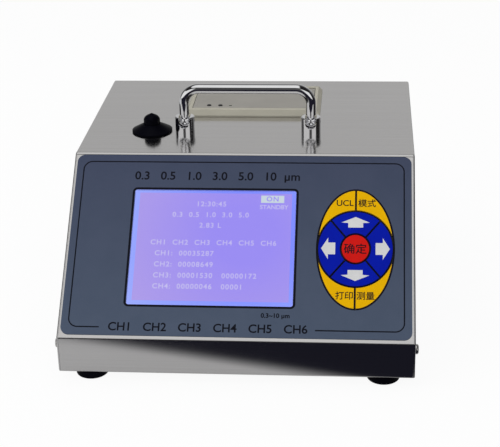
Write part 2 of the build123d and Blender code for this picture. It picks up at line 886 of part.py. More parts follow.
head_top_z = platen_z - platen_radius - head_gap
with BuildPart() as print_head:
    with BuildSketch(Plane.XY.offset(head_top_z)):
        with Locations((0, well_back_y)):
            Rectangle(head_width, well_back_y - platen_y + head_reach, align=(Align.CENTER, Align.MAX))
    extrude(amount=-head_thickness)
    with BuildSketch(Plane.XY.offset(head_top_z - head_thickness)):
        with Locations((0, well_back_y)):
            Rectangle(head_width, head_thickness, align=(Align.CENTER, Align.MAX))
    extrude(amount=-(head_top_z - head_thickness - well_floor_z))
keep(print_head, "print_head")

# the serrated edge that the paper is torn against
tooth_pitch = tear_bar_width / tooth_count
tooth_line = [(-tear_bar_width / 2, 0)]
for tooth in range(tooth_count):
    tooth_start = -tear_bar_width / 2 + tooth * tooth_pitch
    tooth_line.append((tooth_start + tooth_pitch / 2, -tooth_height))
    tooth_line.append((tooth_start + tooth_pitch, 0))
with BuildPart() as tear_bar:
    with BuildSketch(Plane((0, well_back_y, printer_face_z - tear_bar_thickness))):
        with BuildLine():
            Polyline(
                *tooth_line,
                (tear_bar_width / 2, tear_bar_depth),
                (-tear_bar_width / 2, tear_bar_depth),
                close=True,
            )
        make_face()
    extrude(amount=tear_bar_thickness)
keep(tear_bar, "tear_bar")

paper_y = well_front_y + paper_radius + door_gap
with BuildPart() as paper_roll:
    with Locations((0, paper_y, well_floor_z + paper_radius + paper_seat_gap)):
        Cylinder(paper_radius, paper_width, rotation=(0, 90, 0))
        Cylinder(paper_core_radius, paper_width, rotation=(0, 90, 0), mode=Mode.SUBTRACT)
keep(paper_roll, "paper_roll")

# ---------------------------------------------------------------- back wall fittings

def behind(x, z):
    """A plane on the back wall, with its local X to the left and its local Z pointing away from the case."""
    return Plane(origin=(x, y_back, z), x_dir=(-1, 0, 0), z_dir=(0, 1, 0))


power_plane = behind(power_x, z_back_row)
well_half_width = power_well_width / 2
well_half_height = power_well_height / 2
with BuildPart() as power_inlet:
    with BuildSketch(power_plane):
        RectangleRounded(power_flange_width, power_flange_height, power_well_corner)
    extrude(amount=power_flange_thickness)
    with BuildSketch(power_plane):
        Rectangle(power_body_width, power_body_height)
    extrude(amount=-power_body_depth)
    with BuildSketch(power_plane.offset(power_flange_thickness)):
        with BuildLine():
            Polyline(
                (-well_half_width, -well_half_height),
                (well_half_width, -well_half_height),
                (well_half_width, well_half_height - power_well_corner),
                (well_half_width - power_well_corner, well_half_height),
                (power_well_corner - well_half_width, well_half_height),
                (-well_half_width, well_half_height - power_well_corner),
                close=True,
            )
        make_face()
    extrude(amount=-power_well_depth, mode=Mode.SUBTRACT)
    with BuildSketch(power_plane.offset(power_flange_thickness - power_well_depth)):
        with Locations((0, -power_earth_offset)):
            with GridLocations(2 * power_pin_pitch, 0, 2, 1):
                Rectangle(power_pin_width, power_pin_height)
        with Locations((0, power_earth_offset)):
            Rectangle(power_pin_width, power_pin_height)
    extrude(amount=power_pin_length)
keep(power_inlet, "power_inlet")

rocker_well_width = switch_body_width - 2 * switch_wall
rocker_well_height = switch_body_height - 2 * switch_wall
rocker_width = rocker_well_width - 2 * rocker_gap
rocker_radius = rocker_well_height / 2 - rocker_gap
switch_plane = behind(switch_x, z_back_row)
rocker_plane = Plane(
    origin=switch_plane.origin,
    x_dir=(0, sin(radians(rocker_tilt)), -cos(radians(rocker_tilt))),
    z_dir=(1, 0, 0),
)
with BuildPart() as switch_body:
    with BuildSketch(switch_plane):
        RectangleRounded(switch_width, switch_height, switch_rim)
    extrude(amount=switch_lip)
    with BuildSketch(switch_plane):
        Rectangle(switch_body_width, switch_body_height)
    extrude(amount=-switch_body_depth)
    with BuildSketch(switch_plane.offset(switch_lip)):
        Rectangle(rocker_well_width, rocker_well_height)
    extrude(amount=-switch_lip - rocker_room, mode=Mode.SUBTRACT)
    with BuildSketch(rocker_plane):
        Circle(rocker_pin_radius + running_gap)
    extrude(amount=rocker_width / 2 + rocker_pin_length + running_gap, both=True, mode=Mode.SUBTRACT)
keep(switch_body, "switch_body")

# the rocker's face is a shallow vee and its underside a drum about the pivot
vee_rise = rocker_crest + rocker_radius * tan(radians(rocker_tilt))
with BuildPart() as rocker:
    with BuildSketch(rocker_plane):
        Circle(rocker_radius)
        with BuildLine():
            Polyline(
                (-rocker_radius, vee_rise),
                (0, rocker_crest),
                (rocker_radius, vee_rise),
                (rocker_radius, 2 * rocker_radius),
                (-rocker_radius, 2 * rocker_radius),
                close=True,
            )
        make_face(mode=Mode.SUBTRACT)
        with Locations((0, -rocker_root)):
            Rectangle(2 * rocker_radius, rocker_radius, align=(Align.CENTER, Align.MAX), mode=Mode.SUBTRACT)
    extrude(amount=rocker_width / 2, both=True)
    with BuildSketch(rocker_plane):
        Circle(rocker_pin_radius)
    extrude(amount=rocker_width / 2 + rocker_pin_length, both=True)
keep(rocker, "power_rocker")

serial_plane = behind(serial_x, z_back_row)
with BuildPart() as serial_port:
    with BuildSketch(serial_plane):
        RectangleRounded(serial_flange_width, serial_flange_height, serial_flange_thickness)
    extrude(amount=serial_flange_thickness)
    with BuildSketch(serial_plane) as serial_shell:
        with BuildLine():
            Polyline(
                (-serial_shell_top / 2, serial_shell_height / 2),
                (serial_shell_top / 2, serial_shell_height / 2),
                (serial_shell_bottom / 2, -serial_shell_height / 2),
                (-serial_shell_bottom / 2, -serial_shell_height / 2),
                close=True,
            )
        make_face()
        fillet(serial_shell.vertices(), serial_shell_height / 4)
    extrude(amount=serial_shell_length)
    with BuildSketch(serial_plane):
        Rectangle(serial_shell_bottom, serial_shell_height)
    extrude(amount=-serial_body_depth)
    with BuildSketch(serial_plane):
        with GridLocations(serial_screw_pitch, 0, 2, 1):
            RegularPolygon(serial_screw_radius, 6)
    extrude(amount=serial_shell_length)
    with BuildSketch(serial_plane.offset(serial_shell_length)):
        with Locations((0, serial_pin_pitch / 2)):
            with GridLocations(serial_pin_pitch, 0, serial_top_pins, 1):
                Circle(serial_pin_bore)
        with Locations((0, -serial_pin_pitch / 2)):
            with GridLocations(serial_pin_pitch, 0, serial_bottom_pins, 1):
                Circle(serial_pin_bore)
    extrude(amount=-serial_shell_length / 2, mode=Mode.SUBTRACT)
keep(serial_port, "serial_port")

exhaust = turned(
    along_y(inlet_x, y_back, port_z),
    [
        (exhaust_bore, exhaust_reach),
        (port_radius, exhaust_reach),
        (port_radius + barb_height, exhaust_reach - barb_height * 2),
        (port_radius, exhaust_reach - barb_height * 2),
        (port_radius + barb_height, exhaust_reach - barb_height * 4),
        (port_radius, exhaust_reach - barb_height * 4),
        (port_radius, exhaust_flange_thickness),
        (exhaust_flange_radius, exhaust_flange_thickness),
        (exhaust_flange_radius, 0),
        (exhaust_thread_radius, 0),
        (exhaust_thread_radius, -sheet - exhaust_thread_length),
        (port_radius, -sheet - exhaust_thread_length),
        (port_radius, exhaust_port_y - y_back),
        (exhaust_bore, exhaust_port_y - y_back),
    ],
)
keep(exhaust, "exhaust_fitting")

# ---------------------------------------------------------------- air path inside

with BuildPart() as sensor:
    with BuildSketch(Plane.XY.offset(sensor_z)):
        with Locations((inlet_x, inlet_y)):
            Rectangle(sensor_width, sensor_depth)
    extrude(amount=sensor_height)
    chamfer(sensor.edges().filter_by(Axis.Z), port_radius)
    with BuildSketch(Plane.XY.offset(sensor_z + sensor_height)):
        with Locations((inlet_x, inlet_y)):
            Circle(inlet_port_radius)
    extrude(amount=port_length)
    with BuildSketch(Plane.XZ.offset(-sensor_back_y)):
        with Locations((inlet_x, port_z)):
            Circle(port_radius)
    extrude(amount=-port_length)
    with BuildSketch(Plane.XY.offset(sensor_z + sensor_height + port_length)):
        with Locations((inlet_x, inlet_y)):
            Circle(nozzle_bore)
    extrude(amount=-port_length - sensor_height / 2, mode=Mode.SUBTRACT)
    with BuildSketch(Plane.XZ.offset(-sensor_back_y - port_length)):
        with Locations((inlet_x, port_z)):
            Circle(exhaust_bore)
    extrude(amount=port_length + sensor_depth / 2, mode=Mode.SUBTRACT)
keep(sensor, "optical_sensor")

with BuildPart() as laser:
    with BuildSketch(Plane.YZ.offset(inlet_x + sensor_width / 2)):
        with Locations((inlet_y, port_z)):
            Circle(laser_radius)
    extrude(amount=laser_length)
    with BuildSketch(Plane.YZ.offset(inlet_x + sensor_width / 2 + laser_length / 2)):
        with Locations((inlet_y, port_z)):
            Circle(laser_radius)
            Circle(laser_radius - 2 * sheet, mode=Mode.SUBTRACT)
    extrude(amount=sheet, mode=Mode.SUBTRACT)
keep(laser, "laser_holder")

with BuildPart() as pump:
    with BuildSketch(Plane.XZ.offset(-pump_front_y)):
        with Locations((inlet_x, port_z)):
            Circle(pump_radius)
            Rectangle(pump_foot_width, port_z - z_floor, align=(Align.CENTER, Align.MAX))
    extrude(amount=-pump_length)
    with BuildSketch(Plane.XZ.offset(port_length - pump_front_y)):
        with Locations((inlet_x, port_z)):
            Circle(port_radius)
    extrude(amount=-pump_length - 2 * port_length)
keep(pump, "air_pump")

air_filter = turned(
    along_y(inlet_x, filter_front_y, port_z),
    [
        (0, -port_length),
        (port_radius, -port_length),
        (port_radius, 0),
        (filter_radius, filter_thickness / 4),
        (filter_radius, filter_thickness * 3 / 4),
        (port_radius, filter_thickness),
        (port_radius, filter_thickness + port_length),
        (0, filter_thickness + port_length),
    ],
)
keep(air_filter, "exhaust_filter")

inlet_hose_start = sensor_z + sensor_height + hose_slip
inlet_hose_end = nozzle_foot_z + port_length - hose_slip
hoses = {
    "inlet_hose": (
        along_z(inlet_x, inlet_y, inlet_hose_start),
        inlet_port_radius,
        inlet_hose_radius,
        inlet_hose_end - inlet_hose_start,
    ),
    "pump_hose": (
        along_y(inlet_x, sensor_back_y + hose_slip, port_z),
        port_radius,
        hose_radius,
        pump_front_y - sensor_back_y - 2 * hose_slip,
    ),
    "filter_hose": (
        along_y(inlet_x, pump_back_y + hose_slip, port_z),
        port_radius,
        hose_radius,
        filter_front_y - pump_back_y - 2 * hose_slip,
    ),
    "exhaust_hose": (
        along_y(inlet_x, filter_back_y + hose_slip, port_z),
        port_radius,
        hose_radius,
        exhaust_port_y + port_length - filter_back_y - 2 * hose_slip,
    ),
}
for hose_name, (hose_plane, bore_radius, wall_radius, hose_length) in hoses.items():
    hose = turned(
        hose_plane,
        [
            (bore_radius + press_gap, 0),
            (wall_radius, 0),
            (wall_radius, hose_length),
            (bore_radius + press_gap, hose_length),
        ],
    )
    keep(hose, hose_name)

# ---------------------------------------------------------------- electronics inside

main_board_z = z_floor + main_board_stand
with BuildPart() as main_board:
    with BuildSketch(Plane.XY.offset(main_board_z)):
        with Locations((main_board_x, main_board_y)):
            Rectangle(main_board_width, main_board_depth)
    extrude(amount=board_thickness)
    with BuildSketch(Plane.XY.offset(main_board_z + board_thickness)):
        with Locations((main_board_x, main_board_y)):
            with GridLocations(chip_pitch_x, chip_pitch_y, 3, 2):
                Rectangle(chip_width, chip_depth)
    extrude(amount=chip_height)
keep(main_board, "main_board")

with BuildPart() as power_supply:
    with BuildSketch(Plane.XY.offset(z_floor)):
        with Locations((supply_x, supply_y)):
            Rectangle(supply_width, supply_depth)
    extrude(amount=supply_height)
    chamfer(power_supply.edges().group_by(Axis.Z)[-1], sheet)
keep(power_supply, "power_supply")
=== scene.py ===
# Airborne particle counter: finishes, printed panel, key legends, rocker marks and display picture.

import json
import math

import bmesh
import bpy
from mathutils import Matrix, Vector
from mathutils.bvhtree import BVHTree


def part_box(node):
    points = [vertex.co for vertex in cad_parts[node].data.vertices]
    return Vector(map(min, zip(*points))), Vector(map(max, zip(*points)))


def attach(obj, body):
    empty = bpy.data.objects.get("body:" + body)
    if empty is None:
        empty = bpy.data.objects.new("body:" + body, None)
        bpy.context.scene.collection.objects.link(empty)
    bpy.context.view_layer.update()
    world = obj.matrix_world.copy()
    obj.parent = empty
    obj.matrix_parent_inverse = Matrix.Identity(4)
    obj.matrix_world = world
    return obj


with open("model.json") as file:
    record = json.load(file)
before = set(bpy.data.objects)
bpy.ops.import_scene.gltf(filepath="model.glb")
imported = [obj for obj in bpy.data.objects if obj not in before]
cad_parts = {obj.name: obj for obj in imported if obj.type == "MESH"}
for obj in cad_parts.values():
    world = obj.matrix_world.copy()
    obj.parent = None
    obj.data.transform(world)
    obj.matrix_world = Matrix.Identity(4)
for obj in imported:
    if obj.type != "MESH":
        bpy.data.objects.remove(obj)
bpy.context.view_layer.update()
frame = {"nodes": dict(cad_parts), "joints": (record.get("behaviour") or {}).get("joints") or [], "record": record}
nodes = frame["nodes"]
mm = 0.001
print("frame loaded:", len(nodes), "nodes")


# camera

cameraSettings = {
    "place": (90.3, -1022.05, 513.8),  # mm
    "pitchDown": 23.85,  # degrees
    "turnLeft": 5.04,
    "roll": -1.375,
    "lens": 99.5,
    "sensor": 36.0,
    "clip": (0.05, 50.0),  # m
}


def addCamera(settings):
    data = bpy.data.cameras.new("camera")
    data.lens = settings["lens"]
    data.sensor_width = settings["sensor"]
    data.clip_start, data.clip_end = settings["clip"]
    camera = bpy.data.objects.new("camera", data)
    bpy.context.scene.collection.objects.link(camera)
    turn = Matrix.Rotation(math.radians(settings["turnLeft"]), 4, "Z")
    tilt = Matrix.Rotation(math.radians(90.0 - settings["pitchDown"]), 4, "X")
    roll = Matrix.Rotation(math.radians(settings["roll"]), 4, "Z")
    place = Matrix.Translation(Vector(settings["place"]) * mm)
    camera.matrix_world = place @ turn @ tilt @ roll
    bpy.context.scene.camera = camera


addCamera(cameraSettings)
bpy.context.scene.view_settings.view_transform = "Standard"


# shader helpers

def newMaterial(name):
    material = bpy.data.materials.new(name)
    material.use_nodes = True
    tree = material.node_tree
    return material, tree, tree.nodes["Principled BSDF"]


def addNode(tree, kind, **values):
    node = tree.nodes.new(kind)
    for key, value in values.items():
        setattr(node, key, value)
    return node


def math2(tree, operation, a, b):
    node = addNode(tree, "ShaderNodeMath", operation=operation)
    for socket, value in zip(node.inputs, (a, b)):
        if isinstance(value, (int, float)):
            socket.default_value = value
        else:
            tree.links.new(value, socket)
    return node.outputs[0]


def ramp(tree, factor, stops):
    node = addNode(tree, "ShaderNodeValToRGB")
    elements = node.color_ramp.elements
    while len(elements) < len(stops):
        elements.new(0.5)
    for element, (position, colour) in zip(elements, stops):
        element.position = position
        element.color = (*colour, 1.0)
    tree.links.new(factor, node.inputs["Fac"])
    return node.outputs["Color"]


def spread(tree, factor, low, high):
    node = addNode(tree, "ShaderNodeMapRange")
    node.inputs["To Min"].default_value = low
    node.inputs["To Max"].default_value = high
    tree.links.new(factor, node.inputs["Value"])
    return node.outputs["Result"]


def objectCoordinates(tree):
    return addNode(tree, "ShaderNodeTexCoord").outputs["Object"]


def bumpFrom(tree, height, strength, distance):
    node = addNode(tree, "ShaderNodeBump")
    node.inputs["Strength"].default_value = strength
    node.inputs["Distance"].default_value = distance
    tree.links.new(height, node.inputs["Height"])
    return node.outputs["Normal"]


def newGroup(name, inputs, outputs):
    tree = bpy.data.node_groups.new(name, "ShaderNodeTree")
    for label, kind, value in inputs:
        socket = tree.interface.new_socket(label, in_out="INPUT", socket_type=kind)
        if value is not None:
            socket.default_value = value
    for label, kind in outputs:
        tree.interface.new_socket(label, in_out="OUTPUT", socket_type=kind)
    return tree, addNode(tree, "NodeGroupInput"), addNode(tree, "NodeGroupOutput")


def useGroup(tree, group, **values):
    node = addNode(tree, "ShaderNodeGroup", node_tree=group)
    for key, value in values.items():
        node.inputs[key].default_value = value
    tree.links.new(objectCoordinates(tree), node.inputs["Place"])
    return node


def scaledNoise(tree, place, scale, detail=3.0, roughness=0.6):
    stretch = addNode(tree, "ShaderNodeVectorMath", operation="MULTIPLY")
    tree.links.new(place, stretch.inputs[0])
    stretch.inputs[1].default_value = scale
    noise = addNode(tree, "ShaderNodeTexNoise")
    noise.inputs["Scale"].default_value = 1.0
    noise.inputs["Detail"].default_value = detail
    noise.inputs["Roughness"].default_value = roughness
    tree.links.new(stretch.outputs[0], noise.inputs["Vector"])
    return noise.outputs["Fac"]


grainSettings = {
    "fine": 3400.0, "fineRun": 18.0,  # noise scale across and along the brushing
    "broad": 1100.0, "broadRun": 6.0, "broadDetail": 4.0,
    "sideways": 0.7,  # how far a face looks along X before its brushing runs along Y
}


# brushed sheet: streaks run along X, and along Y on the faces that look sideways
def makeBrushedGrain(settings):
    tree, start, end = newGroup(
        "brushedGrain",
        [("Place", "NodeSocketVector", None)],
        [("Height", "NodeSocketFloat"), ("Streaks", "NodeSocketFloat")],
    )
    place = start.outputs["Place"]
    facing = addNode(tree, "ShaderNodeSeparateXYZ")
    tree.links.new(addNode(tree, "ShaderNodeNewGeometry").outputs["Normal"], facing.inputs[0])
    sideways = math2(tree, "GREATER_THAN", math2(tree, "ABSOLUTE", facing.outputs["X"], 0.0), settings["sideways"])
    fine, fineRun = settings["fine"], settings["fineRun"]
    broad, broadRun, detail = settings["broad"], settings["broadRun"], settings["broadDetail"]
    fineAlong = scaledNoise(tree, place, (fineRun, fine, fine))
    fineSide = scaledNoise(tree, place, (fine, fineRun, fine))
    broadAlong = scaledNoise(tree, place, (broadRun, broad, broad), detail=detail)
    broadSide = scaledNoise(tree, place, (broad, broadRun, broad), detail=detail)
    for label, along, side in (("Height", fineAlong, fineSide), ("Streaks", broadAlong, broadSide)):
        choose = addNode(tree, "ShaderNodeMix", data_type="FLOAT")
        tree.links.new(sideways, choose.inputs[0])
        tree.links.new(along, choose.inputs[2])
        tree.links.new(side, choose.inputs[3])
        tree.links.new(choose.outputs[0], end.inputs[label])
    return tree


marksSettings = {
    "blotch": (26.0, 26.0, 26.0), "blotchDetail": 4.0,
    "bend": (9.0, 9.0, 9.0), "bendDetail": 1.0,  # what makes the scratches wander
    "scratches": 11.0, "hairWidth": 0.004,
    "patches": (31.0, 17.0, 23.0), "patchLimit": 0.58,  # scratches show in some patches only
}


# the soft blotches that hands leave, and a few long hairline scratches
def makeHandlingMarks(settings):
    tree, start, end = newGroup(
        "handlingMarks",
        [("Place", "NodeSocketVector", None), ("Size", "NodeSocketFloat", 1.0)],
        [("Smudge", "NodeSocketFloat"), ("Scratch", "NodeSocketFloat")],
    )
    scaled = addNode(tree, "ShaderNodeVectorMath", operation="SCALE")
    tree.links.new(start.outputs["Place"], scaled.inputs[0])
    tree.links.new(start.outputs["Size"], scaled.inputs["Scale"])
    blotch = scaledNoise(tree, scaled.outputs[0], settings["blotch"], detail=settings["blotchDetail"])
    tree.links.new(blotch, end.inputs["Smudge"])
    warp = scaledNoise(tree, scaled.outputs[0], settings["bend"], detail=settings["bendDetail"])
    line = addNode(tree, "ShaderNodeTexVoronoi", feature="DISTANCE_TO_EDGE")
    line.inputs["Scale"].default_value = settings["scratches"]
    shifted = addNode(tree, "ShaderNodeVectorMath", operation="ADD")
    tree.links.new(scaled.outputs[0], shifted.inputs[0])
    tree.links.new(warp, shifted.inputs[1])
    tree.links.new(shifted.outputs[0], line.inputs["Vector"])
    hair = math2(tree, "LESS_THAN", line.outputs["Distance"], settings["hairWidth"])
    patches = scaledNoise(tree, scaled.outputs[0], settings["patches"])
    patchy = math2(tree, "GREATER_THAN", patches, settings["patchLimit"])
    tree.links.new(math2(tree, "MULTIPLY", hair, patchy), end.inputs["Scratch"])
    return tree


pebbleSettings = {"fineness": 1800.0, "detail": 2.0, "cloud": (45.0, 45.0, 45.0)}


# the fine pebbled skin of moulded plastic, film and rubber
def makePebble(settings):
    tree, start, end = newGroup(
        "pebble",
        [("Place", "NodeSocketVector", None), ("Fineness", "NodeSocketFloat", settings["fineness"])],
        [("Height", "NodeSocketFloat"), ("Cloud", "NodeSocketFloat")],
    )
    fine = addNode(tree, "ShaderNodeTexNoise")
    fine.inputs["Detail"].default_value = settings["detail"]
    tree.links.new(start.outputs["Place"], fine.inputs["Vector"])
    tree.links.new(start.outputs["Fineness"], fine.inputs["Scale"])
    tree.links.new(fine.outputs["Fac"], end.inputs["Height"])
    tree.links.new(scaledNoise(tree, start.outputs["Place"], settings["cloud"]), end.inputs["Cloud"])
    return tree


brushedGrain = makeBrushedGrain(grainSettings)
handlingMarks = makeHandlingMarks(marksSettings)
pebble = makePebble(pebbleSettings)


# materials

colourStops = (0.3, 0.7)  # where in a noise the dark colour gives way, and where the light one is reached


def mottled(tree, factor, dark, light):
    return ramp(tree, factor, list(zip(colourStops, (dark, light))))


stainlessSettings = {
    "light": (0.665, 0.655, 0.65),
    "dark": (0.61, 0.60, 0.595),
    "roughness": (0.10, 0.17),
    "bump": 0.05, "grainDepth": 0.00004,  # m
    "scratchShare": 0.4,
}


def makeStainless(settings):
    material, tree, shader = newMaterial("stainless")
    grain = useGroup(tree, brushedGrain)
    marks = useGroup(tree, handlingMarks)
    colour = mottled(tree, grain.outputs["Streaks"], settings["dark"], settings["light"])
    tree.links.new(colour, shader.inputs["Base Color"])
    shader.inputs["Metallic"].default_value = 1.0
    low, high = settings["roughness"]
    mixed = math2(tree, "ADD", math2(tree, "MULTIPLY", grain.outputs["Streaks"], 0.5),
                  math2(tree, "MULTIPLY", marks.outputs["Smudge"], 0.5))
    scratches = math2(tree, "MULTIPLY", marks.outputs["Scratch"], settings["scratchShare"])
    scratched = math2(tree, "ADD", mixed, scratches)
    tree.links.new(spread(tree, scratched, low, high), shader.inputs["Roughness"])
    normal = bumpFrom(tree, grain.outputs["Height"], settings["bump"], settings["grainDepth"])
    tree.links.new(normal, shader.inputs["Normal"])
    return material


metalSkin = {"marks": 3.0, "fineness": 2500.0, "depth": 0.00002}  # depths in m
mouldedSkin = {
    "fineness": 1800.0, "gloss": 0.3, "depth": 0.00005,
    "paintedShadeFrom": 0.3, "paintedShadeTop": 0.136,  # the painted shade on the part's top starts at this share of this height, in m
}
filmFineness = 3200.0  # of the printed film, its keys and the inks on them


def makeMetal(name, light, dark, roughness, bump):
    material, tree, shader = newMaterial(name)
    marks = useGroup(tree, handlingMarks, Size=metalSkin["marks"])
    skin = useGroup(tree, pebble, Fineness=metalSkin["fineness"])
    colour = mottled(tree, marks.outputs["Smudge"], dark, light)
    tree.links.new(colour, shader.inputs["Base Color"])
    shader.inputs["Metallic"].default_value = 1.0
    tree.links.new(spread(tree, marks.outputs["Smudge"], *roughness), shader.inputs["Roughness"])
    tree.links.new(bumpFrom(tree, skin.outputs["Height"], bump, metalSkin["depth"]), shader.inputs["Normal"])
    return material


def makeMoulded(name, light, dark, roughness, bump, fineness=mouldedSkin["fineness"], gloss=mouldedSkin["gloss"],
                paintedTopShade=None):
    # paintedTopShade is painted shade: what the colour is multiplied by at the top of the part, fading out below
    material, tree, shader = newMaterial(name)
    shader.inputs["Specular IOR Level"].default_value = gloss
    skin = useGroup(tree, pebble, Fineness=fineness)
    colour = mottled(tree, skin.outputs["Cloud"], dark, light)
    if paintedTopShade:
        split = addNode(tree, "ShaderNodeSeparateXYZ")
        tree.links.new(objectCoordinates(tree), split.inputs[0])
        share = math2(tree, "DIVIDE", split.outputs["Z"], mouldedSkin["paintedShadeTop"])
        shadeFade = ramp(tree, share, [(mouldedSkin["paintedShadeFrom"], (1.0, 1.0, 1.0)), (1.0, paintedTopShade)])
        shadedColour = addNode(tree, "ShaderNodeVectorMath", operation="MULTIPLY")
        tree.links.new(colour, shadedColour.inputs[0])
        tree.links.new(shadeFade, shadedColour.inputs[1])
        colour = shadedColour.outputs["Vector"]
    tree.links.new(colour, shader.inputs["Base Color"])
    tree.links.new(spread(tree, skin.outputs["Cloud"], *roughness), shader.inputs["Roughness"])
    tree.links.new(bumpFrom(tree, skin.outputs["Height"], bump, mouldedSkin["depth"]), shader.inputs["Normal"])
    return material


glowSurface = {"base": (0.01, 0.01, 0.015), "roughness": 0.5, "gloss": 0.1, "strength": 1.0, "darkAt": 0.75}


def makeGlow(name, light, dark, centre, reach):
    # dark is the colour round the centre, light the paler one away from it
    material, tree, shader = newMaterial(name)
    place = addNode(tree, "ShaderNodeMapping")
    place.inputs["Location"].default_value = [-value / size for value, size in zip(centre, reach)]
    place.inputs["Scale"].default_value = [1.0 / size for size in reach]
    tree.links.new(objectCoordinates(tree), place.inputs["Vector"])
    blend = addNode(tree, "ShaderNodeTexGradient", gradient_type="SPHERICAL")
    tree.links.new(place.outputs[0], blend.inputs["Vector"])
    colour = ramp(tree, blend.outputs["Fac"], [(0.0, light), (glowSurface["darkAt"], dark)])
    shader.inputs["Base Color"].default_value = (*glowSurface["base"], 1.0)
    shader.inputs["Roughness"].default_value = glowSurface["roughness"]
    shader.inputs["Specular IOR Level"].default_value = glowSurface["gloss"]
    tree.links.new(colour, shader.inputs["Emission Color"])
    shader.inputs["Emission Strength"].default_value = glowSurface["strength"]
    return material


clearSheet = {"marks": 2.0, "ior": 1.49, "gloss": 0.2}


def makeClear(name, tint, roughness):
    material, tree, shader = newMaterial(name)
    marks = useGroup(tree, handlingMarks, Size=clearSheet["marks"])
    shader.inputs["Base Color"].default_value = (*tint, 1.0)
    shader.inputs["IOR"].default_value = clearSheet["ior"]
    shader.inputs["Specular IOR Level"].default_value = clearSheet["gloss"]
    shader.inputs["Transmission Weight"].default_value = 1.0
    tree.links.new(spread(tree, marks.outputs["Smudge"], *roughness), shader.inputs["Roughness"])
    return material


# name, light colour, dark colour, roughness from and to, bump
finish = {
    "stainless": makeStainless(stainlessSettings),
    "chrome": makeMetal("chrome", (0.90, 0.90, 0.91), (0.84, 0.84, 0.86), (0.03, 0.06), 0.01),
    "steel": makeMetal("plainSteel", (0.66, 0.65, 0.63), (0.55, 0.54, 0.53), (0.20, 0.34), 0.08),
    "anodised": makeMetal("anodised", (0.48, 0.48, 0.50), (0.40, 0.40, 0.42), (0.38, 0.5), 0.15),
    "brass": makeMetal("platedBrass", (0.78, 0.60, 0.30), (0.66, 0.50, 0.24), (0.18, 0.32), 0.06),
    "black_rubber": makeMoulded("blackRubber", (0.0022, 0.0022, 0.0045), (0.0012, 0.0012, 0.003), (0.30, 0.40), 0.1,
                                gloss=0.03),
    # painted shade: the film is darker and more violet towards its top
    "overlay_film": makeMoulded("overlayFilm", (0.070, 0.091, 0.137), (0.063, 0.084, 0.128), (0.45, 0.55), 0.08,
                                filmFineness, gloss=0.10, paintedTopShade=(0.72, 0.68, 0.77)),
    "key_yellow": makeMoulded("keyYellow", (0.78, 0.43, 0.0), (0.73, 0.40, 0.0), (0.45, 0.55), 0.06,
                              filmFineness, gloss=0.05),
    "key_blue": makeMoulded("keyBlue", (0.0008, 0.010, 0.36), (0.0008, 0.008, 0.32), (0.45, 0.55), 0.06,
                            filmFineness, gloss=0.05),
    "key_red": makeMoulded("keyRed", (0.60, 0.010, 0.007), (0.54, 0.008, 0.006), (0.45, 0.55), 0.06,
                           filmFineness, gloss=0.05),
    "window": makeClear("windowSheet", (0.98, 0.98, 1.0), (0.0, 0.012)),
    "beige_plastic": makeMoulded("beigePlastic", (0.445, 0.425, 0.35), (0.405, 0.385, 0.315), (0.45, 0.58), 0.25,
                                 fineness=1400.0),
    "black_plastic": makeMoulded("blackPlastic", (0.016, 0.016, 0.018), (0.011, 0.011, 0.012), (0.35, 0.48), 0.2),
    "board": makeMoulded("boardGreen", (0.015, 0.13, 0.05), (0.010, 0.09, 0.035), (0.30, 0.42), 0.1),
    "paper": makeMoulded("rollPaper", (0.86, 0.85, 0.82), (0.80, 0.79, 0.76), (0.70, 0.85), 0.2, fineness=900.0),
    "lamp": makeMoulded("lampGreen", (0.045, 0.055, 0.030), (0.03, 0.04, 0.02), (0.15, 0.25), 0.02),
    "hose": makeMoulded("hoseRubber", (0.62, 0.63, 0.60), (0.55, 0.56, 0.53), (0.30, 0.42), 0.08),
}
# painted shade: the printer door is a darker copy of the beige plastic, for its top that faces away from the lamps
doorShadedBeige = makeMoulded("doorShadedBeige", (0.315, 0.30, 0.27), (0.285, 0.272, 0.245), (0.45, 0.58), 0.25, fineness=1400.0)
blackInk = makeMoulded("blackInk", (0.005, 0.005, 0.010), (0.003, 0.003, 0.007), (0.45, 0.55), 0.04,
                       filmFineness, gloss=0.1)
whiteInk = makeMoulded("whiteInk", (0.65, 0.65, 0.65), (0.60, 0.60, 0.60), (0.45, 0.55), 0.04,
                       filmFineness, gloss=0.15)

for part in frame["record"]["subparts"]:
    for slot in nodes[part["node"]].material_slots:
        slot.material = finish[part["material_slot"]]
# the door gets the darker copy of the beige, which is painted shade
nodes["printer_door"].material_slots[0].material = doorShadedBeige
print("finishes set:", len(finish))


# the sloped panel's own plane, read from the frame

pressAxis = next(j["axis"] for j in frame["joints"] if j["name"] == "key_centre_press")
panelOut = -Vector(pressAxis).normalized()
panelUp = Vector((0.0, panelOut.z, -panelOut.y))
keyLow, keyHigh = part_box("key_centre")
keypadCentre = (86.1, -2.5)  # mm, in the panel's own plane
keyMiddleDepth = 0.2  # below the film's face


def panelPlace(x, y, lift):
    # x across, y up the slope and lift out of the film's face, in mm
    turn = Matrix((Vector((1.0, 0.0, 0.0)), panelUp, panelOut)).transposed().to_4x4()
    fromKeyX, fromKeyY = x - keypadCentre[0], y - keypadCentre[1]
    shift = Vector((fromKeyX, 0.0, 0.0)) + panelUp * fromKeyY + panelOut * (lift + keyMiddleDepth)
    return Matrix.Translation((keyLow + keyHigh) / 2 + shift * mm) @ turn


# making pieces

def addPiece(name, mesh, material, body):
    piece = bpy.data.objects.new(name, mesh)
    bpy.context.scene.collection.objects.link(piece)
    mesh.materials.clear()
    mesh.materials.append(material)
    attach(piece, body)
    return piece


def meshFrom(bm, name, place):
    bmesh.ops.scale(bm, vec=(mm, mm, mm), verts=bm.verts)
    bmesh.ops.transform(bm, matrix=place, verts=bm.verts)
    mesh = bpy.data.meshes.new(name)
    bm.to_mesh(mesh)
    bm.free()
    return mesh


